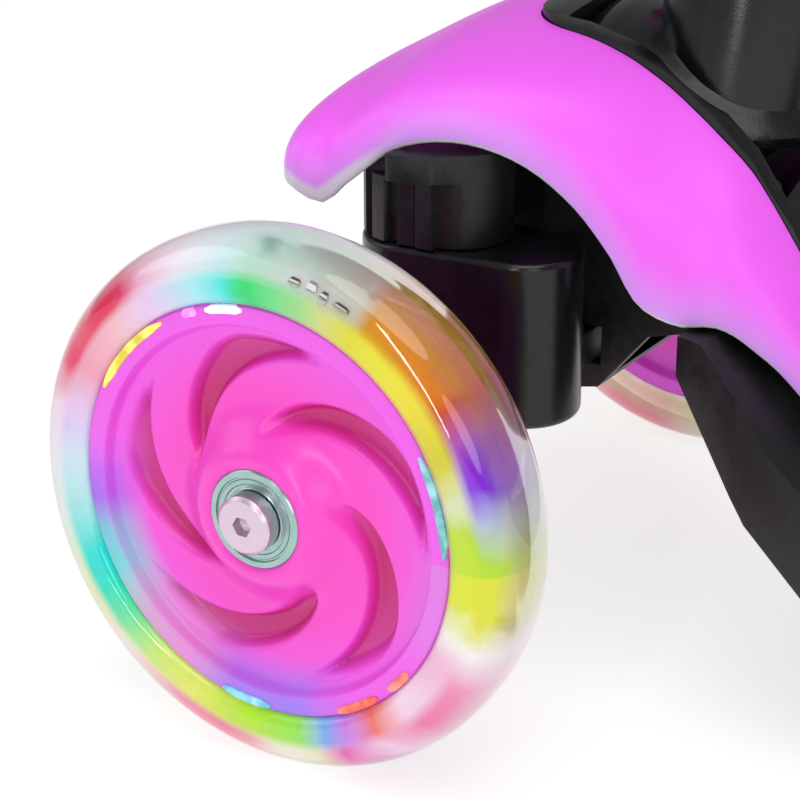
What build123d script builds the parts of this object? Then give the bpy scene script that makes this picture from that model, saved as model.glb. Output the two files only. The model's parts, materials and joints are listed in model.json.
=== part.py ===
"""A small child's three-wheel kick scooter: lean-to-steer front truck, clear light-up wheels, T-bar.

Row frame: +X forward, +Y to the rider's left, +Z up, millimetres. The origin lies on the ground under
the middle of the scooter. Every piece is one node, written to parts/NAME.step.
"""
import math
import os

from build123d import *

os.makedirs("parts", exist_ok=True)

# --- Overall sizes -------------------------------------------------------------------------------
wheelbase = 430.0
front_track = 208.8  # between the mid-planes of the two front wheels
rear_overhang = 50.0  # rear axle to the end of the brake fender
handlebar_height = 600.0  # centre of the bar above the ground, at its lowest setting
handlebar_width = 300.0
stem_rake = 6.0  # degrees, the T-bar leans back
deck_width = 114.0

# --- Wheels --------------------------------------------------------------------------------------
front_wheel_d = 120.0
rear_wheel_d = 80.0
tyre_width = 24.0
tyre_wall = 14.0  # radial thickness of the clear tread
rear_tyre_width = 30.0
rim_width = 20.0
light_ring_depth = 4.0  # radial depth of the groove that holds the light boards
light_board_width = 8.0
bearing_od, bearing_bore, bearing_width = 22.0, 8.0, 7.0
bearing_face = 12.5  # outer bearing face from the wheel's mid-plane
swirl_count = 5
axle_d = 7.96  # M8 shank, running in the bearing bore
axle_head_d, axle_head_h, hex_key = 13.0, 4.0, 4.0

# --- Steering ------------------------------------------------------------------------------------
king_pin_x = -3.0  # behind the front axle
king_pin_y = 52.0
king_pin_d = 9.9
king_pin_bore = 10.0
king_pin_key, locknut_flats = 5.0, 15.0
knuckle_top, knuckle_bottom = 46.0, 8.0  # above the front axle
knuckle_r = 15.0
knuckle_tail_r = 13.0
arm_length = 24.0  # king-pin to tie-rod pin
finger_length = 31.0  # lean pivot to tie rod
lean_pivot_z = 48.0  # above the front axle
lean_angle = 10.0
rod_pin_d = 6.0
rod_pin_gap = 0.25
tie_rod_h = 8.0

# --- Chassis -------------------------------------------------------------------------------------
truck_half = 29.0  # half width of the central housing
column_d, column_step = 25.0, 7.0  # the column is drawn out rearwards by the step
flange_d, flange_t = 34.0, 6.0
truck_top = 60.0
column_top = 67.0
bolt_head_d, bolt_head_h = 16.0, 4.0
deck_top, deck_bottom = -2.0, -19.0  # relative to the front axle
deck_skin = 3.5
deck_wall = 5.0
fork_wall = 12.0
rib_count, deck_rib = 5, 3.0
pad_front, pad_rear = 85.0, -130.0
pad_half, pad_inlay, pad_t = 44.0, 1.0, 2.0
hinge_x, hinge_z, hinge_pin_d = 52.0, 51.0, 5.0  # brake hinge, ahead of the rear axle and above the ground
tongue_half = 20.0
spine_half = 28.0
cover_wall = 2.5
nose_wall = 2.0
post_x, post_y, post_r, post_top = 8.0, 22.0, 5.0, 83.0
screw_seat = 50.0
dome_half = 24.0
dome_wall = 3.0
dome_gap = 0.4
lip_height = 1.5

truck_rear = -62.0  # behind the front axle, as are the other stations below
pin_front = 20.0
pocket_rear, pocket_front = -57.5, -11.5
tongue_rear = -112.0
tongue_bolt_x = (-88, -104)
rod_slot_x = 15.0
bush_len = 10.0
nut_pocket = 8.0  # depth of the pocket for the king-pin locknut

# --- T-bar ---------------------------------------------------------------------------------------
lower_tube_d, lower_tube_wall = 34.0, 1.8
inner_tube_d, inner_tube_wall = 27.0, 1.5
button_d, button_gap, button_height = 10.0, 0.3, 50.0
lower_tube_len = 330.0
bar_d = 22.0
grip_d, grip_len = 31.0, 105.0
fit_gap = 0.3

# --- Places that follow from the sizes above -------------------------------------------------------
front_r, rear_r = front_wheel_d / 2, rear_wheel_d / 2
total_length = front_r + wheelbase + rear_overhang
front_x = total_length / 2 - front_r
rear_x = front_x - wheelbase
axle_z = front_r
stem_x = front_x - 50.0
pivot_z = axle_z + lean_pivot_z
rod_z = pivot_z - finger_length
pin_x = front_x + king_pin_x
rod_x = pin_x - arm_length
wheel_y = front_track / 2
rake = math.radians(stem_rake)
stem_axis = (-math.sin(rake), 0, math.cos(rake))
top_z = axle_z + deck_top
bottom_z = axle_z + deck_bottom


def save(part, name):
    part.label = name
    export_step(part, f"parts/{name}.step")


def across(y, x, z):
    """A plane square to Y at the given place, so that an extrusion of it runs towards +Y."""
    return Plane(origin=(x, y, z), x_dir=(-1, 0, 0), z_dir=(0, 1, 0))


def along(x, z=0.0, y=0.0):
    """A plane square to X, with its own x along +Y and its own y along +Z."""
    return Plane(origin=(x, y, z), x_dir=(0, 1, 0), z_dir=(1, 0, 0))


def stem_plane(height):
    """A plane square to the stem, a given way up it from the lean pivot's height."""
    x, _, z = stem_axis
    return Plane(origin=(stem_x + x * height, 0, pivot_z + z * height), x_dir=(0, 1, 0), z_dir=stem_axis)


def button_plane(out):
    """A plane square to the release button's travel, a given distance out from the stem's axis."""
    x, _, z = stem_axis
    base = (stem_x + x * button_height, 0, pivot_z + z * button_height)
    return Plane(origin=(base[0] + z * out, 0, base[2] - x * out), x_dir=(0, 1, 0), z_dir=(z, 0, -x))


# --- Front cover: a wing-shaped moulded shell over both wheels -------------------------------------
# Stations from the nose to the tail: distance from the front axle, crown height, half width, edge height.
cover_stations = [
    (47, 60, 26, 50),
    (43, 65, 38, 50),
    (36, 70, 51, 51),
    (28, 75, 62, 53),
    (20, 79.5, 73, 56),
    (14, 83, 71, 55),
    (8, 86, 69, 60),
    (-3, 90, 65, 68.5),
    (-15, 91, 60.5, 70),
    (-27, 90.5, 56.5, 66.5),
    (-38, 88.5, 52.8, 58),
    (-46, 86, 50.6, 48),
    (-53, 83.5, 48.3, 36.5),
    (-60, 79, 45.5, 33),
    (-68, 71.5, 43.5, 33.5),
    (-78, 57, 40, 27.5),
    (-90, 34, 36, 15),
]
spine_front, spine_rear = -12.0, -120.0
spine_tail_half = 22.5
dome_front, dome_rear = -22.0, -74.0


def cover_curve(crown, half, edge, steps=6):
    """Points of the cover's section from its left edge over the crown to its right edge."""
    left = []
    for i in range(steps + 1):
        t = math.cos(i / steps * math.pi / 2)
        left.append((half * t, edge + (crown - edge) * (1 - t**1.6) ** (1 / 3)))
    return left + [(-y, z) for y, z in reversed(left[:-1])]


def cover_shell(stations, thickness, lift=0.0):
    """Thin moulded shell under the cover's surface, or lifted off it, of the given wall thickness."""
    with BuildPart() as form:
        for x, crown, half, edge in stations:
            outer = cover_curve(crown + lift, half + lift, edge)
            inner = cover_curve(crown + lift - thickness, half + lift - thickness, edge)
            with BuildSketch(along(front_x + x, axle_z)):
                with BuildLine():
                    Spline(*outer)
                    Line(outer[-1], inner[-1])
                    Spline(*reversed(inner))
                    Line(inner[0], outer[0])
                make_face()
        loft(ruled=True)
    return form.part


def spine_outline(gap=0.0):
    """Plan outline of the black spine that fills the slot in the cover."""
    half, tail = spine_half + gap, spine_tail_half + gap
    front, rear = front_x + spine_front + gap, front_x + spine_rear - gap
    with BuildSketch() as outline:
        with BuildLine():
            Polyline(
                (rear, -tail), (front_x - 72, -half), (front, -half), (front, half), (front_x - 72, half),
                (rear, tail), close=True,
            )
        make_face()
        fillet(outline.vertices().group_by(Axis.X)[-1], 12)
    return outline.sketch


with BuildPart() as front_cover:
    add(cover_shell(cover_stations, cover_wall))
    add(spine_outline(fit_gap))
    extrude(amount=3 * front_r, mode=Mode.SUBTRACT)
    nose_x, nose_crown, nose_half, nose_edge = cover_stations[0]
    nose_curve = cover_curve(nose_crown, nose_half, nose_edge)
    with BuildSketch(along(front_x + nose_x, axle_z)):
        with BuildLine():
            Spline(*nose_curve)
            Line(nose_curve[-1], nose_curve[0])
        make_face()
    extrude(amount=nose_wall)
    # Screw posts that stand on the truck.
    for side in (1, -1):
        with BuildSketch(Plane.XY.offset(axle_z + truck_top)):
            with Locations((front_x + post_x, side * post_y)):
                Circle(post_r)
        extrude(amount=post_top - truck_top)
        with BuildSketch(Plane.XY.offset(axle_z + truck_top)):
            with Locations((front_x + post_x, side * post_y)):
                Circle(2)
        extrude(amount=14, mode=Mode.SUBTRACT)
save(front_cover.part, "front_cover")


# --- Lean hub: the lever that the T-bar plugs into, turning on the lean pivot ------------------------
# Outer radius about the lean axis at stations behind the front axle.
dome_profile = [(-22, 42.0), (-27, 44.0), (-36, 42.9), (-46, 39.0), (-55.5, 34.7), (-66, 29.2), (-74, 24.0)]
dome_floor = 20.0  # lowest part of the dome above the pivot
barrel_r, barrel_front, barrel_rear = 11.0, -12.0, -57.0
pivot_pin_d, pivot_bore = 9.94, 10.0
socket_r, socket_low, socket_high = 20.0, 18.0, 60.0
tube_seat = 22.0
finger_d, finger_play = 8.0, 1.1  # the play lets the finger tilt in the tie rod


def dome_body(gap=0.0):
    """Solid of revolution about the lean axis inside the dome's outer surface."""
    points = [(front_x + x, pivot_z + r + gap) for x, r in dome_profile]
    with BuildPart() as body:
        with BuildSketch(Plane.XZ):
            with BuildLine():
                Polyline((points[-1][0], pivot_z), *reversed(points), (points[0][0], pivot_z), close=True)
            make_face()
        revolve(axis=Axis((0, 0, pivot_z), (1, 0, 0)))
    return body.part


with BuildPart() as lean_hub:
    add(dome_body())
    add(dome_body(-dome_wall), mode=Mode.SUBTRACT)
    dome_mid = front_x + (dome_front + dome_rear) / 2
    with Locations((dome_mid, 0, pivot_z + dome_floor + 50)):
        Box(dome_front - dome_rear - 1, 2 * dome_half, 100, mode=Mode.INTERSECT)
    with BuildSketch(along(front_x + barrel_rear, pivot_z)):
        Circle(barrel_r)
    extrude(amount=barrel_front - barrel_rear)
    # A web on the centre plane ties the dome to the barrel.
    with BuildSketch(Plane.XZ):
        with BuildLine():
            Polyline(
                (front_x - 26, pivot_z), (front_x - 26, pivot_z + 42), (front_x - 46, pivot_z + 37.5),
                (front_x - 56, pivot_z + 30), (front_x - 56, pivot_z), close=True,
            )
        make_face()
    extrude(amount=4, both=True)
    with BuildSketch(stem_plane(socket_low)):
        Circle(socket_r)
    extrude(amount=socket_high - socket_low)
    # The finger that moves the tie rod.
    with Locations((rod_x, 0, (pivot_z + rod_z) / 2)):
        Cylinder(finger_d / 2, pivot_z - rod_z + tie_rod_h)
    with BuildSketch(stem_plane(tube_seat)):
        Circle(lower_tube_d / 2)
    extrude(amount=socket_high, mode=Mode.SUBTRACT)
    with BuildSketch(along(front_x + barrel_rear - 5, pivot_z)):
        Circle(barrel_r - 2)
    extrude(amount=60, mode=Mode.SUBTRACT)
    with BuildSketch(button_plane(0)):
        Circle(button_d / 2 + button_gap)
    extrude(amount=socket_r + 5, mode=Mode.SUBTRACT)
save(lean_hub.part, "lean_hub")

with BuildPart() as hub_bushes:
    for start in (barrel_rear, barrel_front - bush_len):
        with BuildSketch(along(front_x + start, pivot_z)):
            Circle(barrel_r - 2)
            Circle(pivot_bore / 2, mode=Mode.SUBTRACT)
        extrude(amount=bush_len)
save(hub_bushes.part, "hub_bushes")

with BuildPart() as lean_pivot_pin:
    with BuildSketch(along(front_x + truck_rear, pivot_z)):
        Circle(pivot_pin_d / 2)
    extrude(amount=pin_front - truck_rear)
    with BuildSketch(along(front_x + pin_front, pivot_z)):
        Circle(8)
        RegularPolygon(3, 6, mode=Mode.SUBTRACT)
    extrude(amount=5)
    with BuildSketch(along(front_x + pin_front, pivot_z)):
        Circle(8)
    extrude(amount=2)
save(lean_pivot_pin.part, "lean_pivot_pin")


# --- Front truck: glass-filled nylon frame that carries both king-pins and the lean pivot -----------
beam_back, beam_front = -15.5, 9.5
beam_low = knuckle_top + 0.4
pocket_half = truck_half - 4
column_rib = 4.0
seat_z = -6.0  # deck floor under the tongue, above the front axle
tongue_t = 11.0

with BuildPart() as front_truck:
    with BuildSketch(Plane.XZ):
        with BuildLine():
            Polyline(
                *[(front_x + x, axle_z + z) for x, z in (
                    (20, truck_top), (20, 8), (14, 4), (-20, 4), (-34, 7), (-46, 21.5), (truck_rear, 26),
                    (truck_rear, truck_top),
                )],
                close=True,
            )
        make_face()
    extrude(amount=truck_half, both=True)
    # The tongue that is bolted down on the deck.
    with BuildSketch(Plane.XZ):
        with BuildLine():
            Polyline(
                *[(front_x + x, axle_z + z) for x, z in (
                    (truck_rear + 2, 27), (-71, seat_z), (tongue_rear, seat_z), (tongue_rear, seat_z + tongue_t),
                    (-80, seat_z + tongue_t), (truck_rear, 40),
                )],
                close=True,
            )
        make_face()
    extrude(amount=tongue_half, both=True)
    # Pocket for the lean hub, open at the top.
    with Locations((front_x + (pocket_rear + pocket_front) / 2, 0, axle_z + 10 + 40)):
        Box(pocket_front - pocket_rear, 2 * pocket_half, 80, mode=Mode.SUBTRACT)
    # Cross-beam with a column and a flange at each king-pin.
    with Locations((front_x + (beam_back + beam_front) / 2, 0, axle_z + (beam_low + truck_top) / 2)):
        Box(beam_front - beam_back, 2 * king_pin_y, truck_top - beam_low)
    with Locations((front_x + (pocket_rear + pocket_front) / 2, 0, axle_z + 10 + 40)):
        Box(pocket_front - pocket_rear, 2 * pocket_half, 80, mode=Mode.SUBTRACT)
    for side in (-1, 1):
        with BuildSketch(Plane.XY.offset(axle_z + beam_low)):
            with Locations((pin_x, side * king_pin_y), (pin_x - column_step, side * king_pin_y)):
                Circle(column_d / 2)
            make_hull()
        extrude(amount=column_top - beam_low)
        with BuildSketch(Plane.XY.offset(axle_z + column_top - flange_t)):
            with Locations((pin_x, side * king_pin_y)):
                Circle(flange_d / 2)
            with Locations((pin_x - column_step, side * king_pin_y)):
                Circle(column_d / 2)
            make_hull()
        extrude(amount=flange_t)
        # Flat on the flange's front, clear of the cover's lower edge.
        with Locations((front_x + 8, side * 68, axle_z + column_top)):
            Box(20, 10, 2 * flange_t + 1, mode=Mode.SUBTRACT)
        # Upright ribs on the outside of the column.
        rib_z = axle_z + (beam_low + column_top - flange_t) / 2
        with Locations(Location((pin_x, side * king_pin_y, rib_z))):
            with PolarLocations(column_d / 2, 3, start_angle=side * 90 - 15 - side * 35, angular_range=90):
                Box(column_rib, column_rib, column_top - flange_t - beam_low)
        with Locations((pin_x - column_step, side * (king_pin_y + column_d / 2), rib_z)):
            Box(column_rib, column_rib, column_top - flange_t - beam_low)
        with Locations((pin_x, side * king_pin_y, axle_z + truck_top)):
            Hole(king_pin_bore / 2, 2 * truck_top)
        # Counterbore that sinks the bolt head in the flange.
        with BuildSketch(Plane.XY.offset(axle_z + column_top)):
            with Locations((pin_x, side * king_pin_y)):
                Circle(bolt_head_d / 2 + fit_gap)
        extrude(amount=-bolt_head_h - 1, mode=Mode.SUBTRACT)
    # Slots that let the tie rod through both side walls.
    with Locations((rod_x, 0, rod_z)):
        Box(rod_slot_x, 2.2 * truck_half, tie_rod_h + 1.2, mode=Mode.SUBTRACT)
    with BuildSketch(along(front_x + truck_rear - 1, pivot_z)):
        Circle(pivot_bore / 2)
    extrude(amount=100, mode=Mode.SUBTRACT)
    for x in tongue_bolt_x:
        with Locations((front_x + x, 10, axle_z + 40), (front_x + x, -10, axle_z + 40)):
            Hole(2.75, 80)
    for side in (1, -1):
        with Locations((front_x + post_x, side * post_y, axle_z)):
            Hole(2.2, 80)
        with BuildSketch(Plane.XY.offset(axle_z)):
            with Locations((front_x + post_x, side * post_y)):
                Circle(4.5)
        extrude(amount=screw_seat, mode=Mode.SUBTRACT)
save(front_truck.part, "front_truck")

with BuildPart() as king_pin_bolts:
    head_seat = axle_z + column_top - bolt_head_h - 1
    for side in (-1, 1):
        with BuildSketch(Plane.XY.offset(axle_z + knuckle_bottom + nut_pocket)):
            with Locations((pin_x, side * king_pin_y)):
                Circle(king_pin_d / 2)
        extrude(amount=head_seat - axle_z - knuckle_bottom - nut_pocket)
        with BuildSketch(Plane.XY.offset(head_seat)):
            with Locations((pin_x, side * king_pin_y)):
                Circle(bolt_head_d / 2)
        extrude(amount=bolt_head_h)
        with BuildSketch(Plane.XY.offset(head_seat + bolt_head_h)):
            with Locations((pin_x, side * king_pin_y)):
                RegularPolygon(king_pin_key / 2, 6, major_radius=False)
        extrude(amount=-king_pin_key / 2, mode=Mode.SUBTRACT)
        # Locknut that holds the knuckle up from below.
        with BuildSketch(Plane.XY.offset(axle_z + knuckle_bottom)):
            with Locations((pin_x, side * king_pin_y)):
                RegularPolygon(locknut_flats / 2, 6, major_radius=False)
        extrude(amount=nut_pocket - 0.2)
save(king_pin_bolts.part, "king_pin_bolts")


# --- Steering knuckles, with their tie-rod pins and axle bolts --------------------------------------
boss_r = 11.0
boss_inner, boss_outer = king_pin_y + 6, wheel_y - bearing_face - 1.0
slot_z = tie_rod_h + 1.0
slot_width, slot_depth, slot_outer = 20.0, 40.0, 7.0  # room for the tie rod's end to swing in the tail


def knuckle(side):
    """Steering knuckle: a barrel on the king-pin, an axle boss outboard and a tie-rod arm behind."""
    with BuildPart() as body:
        with BuildSketch(Plane.XY.offset(axle_z + knuckle_bottom)) as plan:
            with Locations((pin_x, side * king_pin_y)):
                Circle(knuckle_r)
            with Locations((rod_x, side * king_pin_y)):
                Circle(knuckle_tail_r)
            make_hull()
        extrude(amount=knuckle_top - knuckle_bottom)
        fillet(body.edges().filter_by(GeomType.CIRCLE).group_by(Axis.Z)[-1], 1.5)
        fillet(body.edges().filter_by(GeomType.CIRCLE).group_by(Axis.Z)[0], 2.0)
        # Boss for the axle bolt and the shoulder that carries it.
        with BuildSketch(across(side * boss_inner, front_x, axle_z) if side > 0 else
                         across(side * boss_outer, front_x, axle_z)):
            Circle(boss_r)
        extrude(amount=boss_outer - boss_inner)
        with Locations((front_x - 2, side * (boss_inner + 6), axle_z + 12)):
            Box(2 * boss_r - 4, 14, 24)
        # King-pin bore, nut pocket and tie-rod slot.
        with BuildSketch(Plane.XY.offset(axle_z - boss_r)):
            with Locations((pin_x, side * king_pin_y)):
                Circle(king_pin_bore / 2)
        extrude(amount=truck_top + boss_r, mode=Mode.SUBTRACT)
        with BuildSketch(Plane.XY.offset(axle_z - boss_r)):
            with Locations((pin_x, side * king_pin_y)):
                Circle(9.2)
        extrude(amount=boss_r + knuckle_bottom + nut_pocket, mode=Mode.SUBTRACT)
        with Locations((rod_x, side * (king_pin_y + slot_outer - slot_depth / 2), rod_z)):
            Box(slot_width, slot_depth, slot_z, mode=Mode.SUBTRACT)
        with BuildSketch(Plane.XY.offset(rod_z - 9)):
            with Locations((rod_x, side * king_pin_y)):
                Circle(rod_pin_d / 2)
        extrude(amount=18, mode=Mode.SUBTRACT)
        with BuildSketch(across(side * (wheel_y - 50 if side > 0 else wheel_y + 50), front_x, axle_z)):
            Circle(axle_d / 2)
        extrude(amount=100, mode=Mode.SUBTRACT)
    return body.part


def rod_pin(side):
    """Steel pin on which the end of the tie rod turns."""
    with BuildPart() as pin:
        with BuildSketch(Plane.XY.offset(rod_z - 9)):
            with Locations((rod_x, side * king_pin_y)):
                Circle(rod_pin_d / 2)
        extrude(amount=18)
    return pin.part


def out_plane(side, distance, x, z):
    """A plane square to Y, facing away from the centre on the given side."""
    return Plane(origin=(x, side * distance, z), x_dir=(-side, 0, 0), z_dir=(0, side, 0))


def axle_bolt(side, inner, seat, x, z):
    """Hexagon-socket axle bolt from its inner end to its head, which rests on the bearing's inner race."""
    with BuildPart() as bolt:
        with BuildSketch(out_plane(side, inner, x, z)):
            Circle(axle_d / 2)
        extrude(amount=seat - inner)
        with BuildSketch(out_plane(side, seat, x, z)):
            Circle(axle_head_d / 2)
        extrude(amount=axle_head_h)
        chamfer(bolt.edges().filter_by(GeomType.CIRCLE).sort_by(Axis.Y, reverse=side > 0)[0], 0.8)
        with BuildSketch(out_plane(side, seat + axle_head_h - 2.5, x, z)):
            RegularPolygon(hex_key / 2, 6, major_radius=False)
        extrude(amount=5, mode=Mode.SUBTRACT)
    return bolt.part


# --- Wheels: a moulded core, a clear tread with light boards in it, and two bearings -----------------
hub_r = 16.0
spacer_od = 11.5
web_t = 8.0


def wheel_core(x, y, z, rim_r, rim_w, hub_half, swirls):
    """Core of a wheel: rim, dished web, hub with a bearing seat each side, and swirl recesses."""
    plane = across(y, x, z)
    with BuildPart() as core:
        with BuildSketch(plane.offset(-rim_w / 2)):
            Circle(rim_r)
        extrude(amount=rim_w)
        for face in (plane, Plane(origin=(x, y, z), x_dir=(1, 0, 0), z_dir=(0, -1, 0))):
            with BuildSketch(face.offset(web_t / 2)):
                Circle(rim_r - 5)
                Circle(hub_r, mode=Mode.SUBTRACT)
            extrude(amount=rim_w, mode=Mode.SUBTRACT)
            with BuildSketch(face):
                Circle(hub_r)
            extrude(amount=hub_half)
            # Comma-shaped recesses that sweep round the hub.
            if swirls:
                reach = rim_r - 7
                with BuildSketch(face.offset(web_t / 2 - 1.6)):
                    with PolarLocations(0, swirls):
                        with BuildLine():
                            ThreePointArc((hub_r + 2, 0), (0.72 * reach, 0.38 * reach), (0.55 * reach, 0.8 * reach))
                            ThreePointArc((0.55 * reach, 0.8 * reach), (0.9 * reach, 0.3 * reach),
                                          (0.8 * reach, -0.12 * reach))
                            Line((0.8 * reach, -0.12 * reach), (hub_r + 2, 0))
                        make_face()
                extrude(amount=web_t, mode=Mode.SUBTRACT)
            with BuildSketch(face.offset(hub_half - bearing_width)):
                Circle(bearing_od / 2)
            extrude(amount=bearing_width + 1, mode=Mode.SUBTRACT)
        with BuildSketch(plane.offset(-hub_half)):
            Circle(bearing_od / 2 - 2.5)
        extrude(amount=2 * hub_half, mode=Mode.SUBTRACT)
    return core.part


def tread(x, y, z, outer, inner, width, rim_w):
    """Clear cast tread with round shoulders, and a groove inside it for the light boards."""
    half, rim_half = width / 2, rim_w / 2
    with BuildPart() as ring:
        with BuildSketch(Plane.XY):
            with BuildLine():
                Line((inner, -rim_half), (inner, rim_half))
                Line((inner, rim_half), (inner + 3, half))
                EllipticalCenterArc((inner + 3, 0), outer - inner - 3, half, start_angle=-90, arc_size=180)
                Line((inner + 3, -half), (inner, -rim_half))
            make_face()
            with Locations((inner + light_ring_depth / 2, 0)):
                Rectangle(light_ring_depth, light_board_width, mode=Mode.SUBTRACT)
        revolve(axis=Axis.Y)
    return Location((x, y, z)) * ring.part


def light_ring(x, y, z, inner, count):
    """Light boards round the rim: curved strips, each with three lamps on it."""
    arc = 360 / count - 14
    with BuildPart() as ring:
        with BuildSketch(Plane.XY):
            with Locations((inner + 0.8, 0)):
                Rectangle(1.6, light_board_width - 0.6)
        revolve(axis=Axis.Y, revolution_arc=arc)
        with Locations(*[
            Plane.XZ * Location((0, 0, 0), (0, 0, -arc * share)) * Location((inner + 2.2, 0, 0))
            for share in (0.2, 0.5, 0.8)
        ]):
            Box(2.4, 5, 3.5)
    strips = [Location((x, y, z)) * Rotation(0, k * 360 / count, 0) * ring.part for k in range(count)]
    return Compound(children=strips)


def bearing_pair(x, y, z, hub_half):
    """Two shielded ball bearings, flush with the ends of the hub."""
    with BuildPart() as pair:
        for start in (-hub_half, hub_half - bearing_width):
            plane = across(y + start, x, z)
            with BuildSketch(plane):
                Circle(bearing_od / 2)
                Circle(bearing_bore / 2, mode=Mode.SUBTRACT)
            extrude(amount=bearing_width)
            for face in (plane, plane.offset(bearing_width - 0.5)):
                with BuildSketch(face):
                    Circle(bearing_od / 2 - 1.6)
                    Circle(spacer_od / 2 + 0.4, mode=Mode.SUBTRACT)
                extrude(amount=0.5, mode=Mode.SUBTRACT)
    return pair.part


def hub_spacer(x, y, z, hub_half):
    """Magnetic sleeve on the axle between the two inner races."""
    length = 2 * (hub_half - bearing_width) - 0.1
    with BuildPart() as sleeve:
        with BuildSketch(across(y - length / 2, x, z)):
            Circle(spacer_od / 2)
            Circle(axle_d / 2, mode=Mode.SUBTRACT)
        extrude(amount=length)
    return sleeve.part


core_r = front_r - tyre_wall
for side, name in ((1, "left"), (-1, "right")):
    y = side * wheel_y
    save(knuckle(side), f"{name}_knuckle")
    save(rod_pin(side), f"{name}_rod_pin")
    save(axle_bolt(side, king_pin_y + 8, wheel_y + bearing_face + 0.1, front_x, axle_z), f"{name}_axle_bolt")
    save(wheel_core(front_x, y, axle_z, core_r, rim_width, bearing_face, swirl_count), f"{name}_core")
    save(tread(front_x, y, axle_z, front_r, core_r, tyre_width, rim_width), f"{name}_tyre")
    save(light_ring(front_x, y, axle_z, core_r, 6), f"{name}_light_ring")
    save(bearing_pair(front_x, y, axle_z, bearing_face), f"{name}_bearings")
    save(hub_spacer(front_x, y, axle_z, bearing_face), f"{name}_hub_spacer")


# --- Tie rod: moved sideways by the lean hub's finger, and turning both knuckles --------------------
with BuildPart() as tie_rod:
    with Locations((rod_x, 0, rod_z)):
        Box(rod_slot_x - 4, 2 * king_pin_y, tie_rod_h)
    for side in (-1, 1):
        with BuildSketch(Plane.XY.offset(rod_z - tie_rod_h / 2)):
            with Locations((rod_x, side * king_pin_y)):
                Circle((rod_slot_x - 4) / 2)
        extrude(amount=tie_rod_h)
        with BuildSketch(Plane.XY.offset(rod_z - tie_rod_h / 2)):
            with Locations((rod_x + 0.4, side * king_pin_y)):
                SlotOverall(rod_pin_d + 2 * rod_pin_gap + 1.2, rod_pin_d + 2 * rod_pin_gap)
        extrude(amount=tie_rod_h, mode=Mode.SUBTRACT)
    with Locations((rod_x, 0, rod_z)):
        Box(finger_d + 2 * fit_gap, finger_d + 2 * finger_play, 3 * tie_rod_h, mode=Mode.SUBTRACT)
    with Locations((rod_x, 0, rod_z)):
        Box(finger_d + 8, finger_d + 10, tie_rod_h)
    with Locations((rod_x, 0, rod_z)):
        Box(finger_d + 2 * fit_gap, finger_d + 2 * finger_play, 3 * tie_rod_h, mode=Mode.SUBTRACT)
save(tie_rod.part, "tie_rod")


# --- Neck fairing: the black spine in the cover's slot, with the opening for the lean hub's dome -----
fairing_depth = 7.0
relief_angle, relief_gap = lean_angle + 0.5, 0.5
opening_front, opening_rear = dome_front + 0.8, dome_rear - 1.0
fairing_tail = [(-100, 22, 33, 6), (-110, 17, 31, -1), (-118, 15, 29, deck_top - lip_height)]
fairing_stations = [station for station in cover_stations if station[0] <= 8] + fairing_tail


def leaned_socket(turn):
    """Room that the stem socket takes when the T-bar leans sideways by the angle."""
    with BuildPart() as room:
        with BuildSketch(stem_plane(socket_low)):
            Circle(socket_r + relief_gap)
        extrude(amount=socket_high - socket_low)
    return room.part.rotate(Axis((0, 0, pivot_z), (1, 0, 0)), turn)


with BuildPart() as neck_fairing:
    add(cover_shell(fairing_stations, fairing_depth, lip_height))
    tail_x, tail_crown, tail_half, tail_edge = fairing_tail[-1]
    tail_curve = cover_curve(tail_crown + lip_height, tail_half + lip_height, tail_edge)
    with BuildSketch(along(front_x + tail_x - nose_wall, axle_z)):
        with BuildLine():
            Spline(*tail_curve)
            Line(tail_curve[-1], tail_curve[0])
        make_face()
        with Locations((0, deck_top - 5)):
            Rectangle(3 * tail_half, 10.2, mode=Mode.SUBTRACT)
    extrude(amount=nose_wall)
    with BuildSketch(Plane.XY):
        add(spine_outline(-0.05))
    extrude(amount=4 * front_r, mode=Mode.INTERSECT)
    with Locations((front_x + (opening_front + opening_rear) / 2, 0, 3 * axle_z)):
        Box(opening_front - opening_rear, 2 * (dome_half + dome_gap), 4 * axle_z, mode=Mode.SUBTRACT)
    add(dome_body(dome_gap), mode=Mode.SUBTRACT)
    # Relief in the opening's sides for the stem socket at full lean.
    for turn in (-relief_angle, relief_angle):
        add(leaned_socket(turn), mode=Mode.SUBTRACT)
    # Foot that stands on the truck's tongue.
    with Locations((front_x - 83, 0, axle_z + (seat_z + tongue_t + 44) / 2)):
        Box(5, 8, 44 - seat_z - tongue_t)
save(neck_fairing.part, "neck_fairing")


# --- Deck: a ribbed nylon board with a ramp at the front and a fork for the rear wheel --------------
fork_half = rear_tyre_width / 2 + 4
groove_w, groove_depth, groove_gap, groove_back = 1.2, 0.6, 2.0, 10.0
rear_axle_z = rear_r
fork_end = rear_x - 14
slot_front = rear_x + rear_r + 20
neck_front = truck_rear

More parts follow.
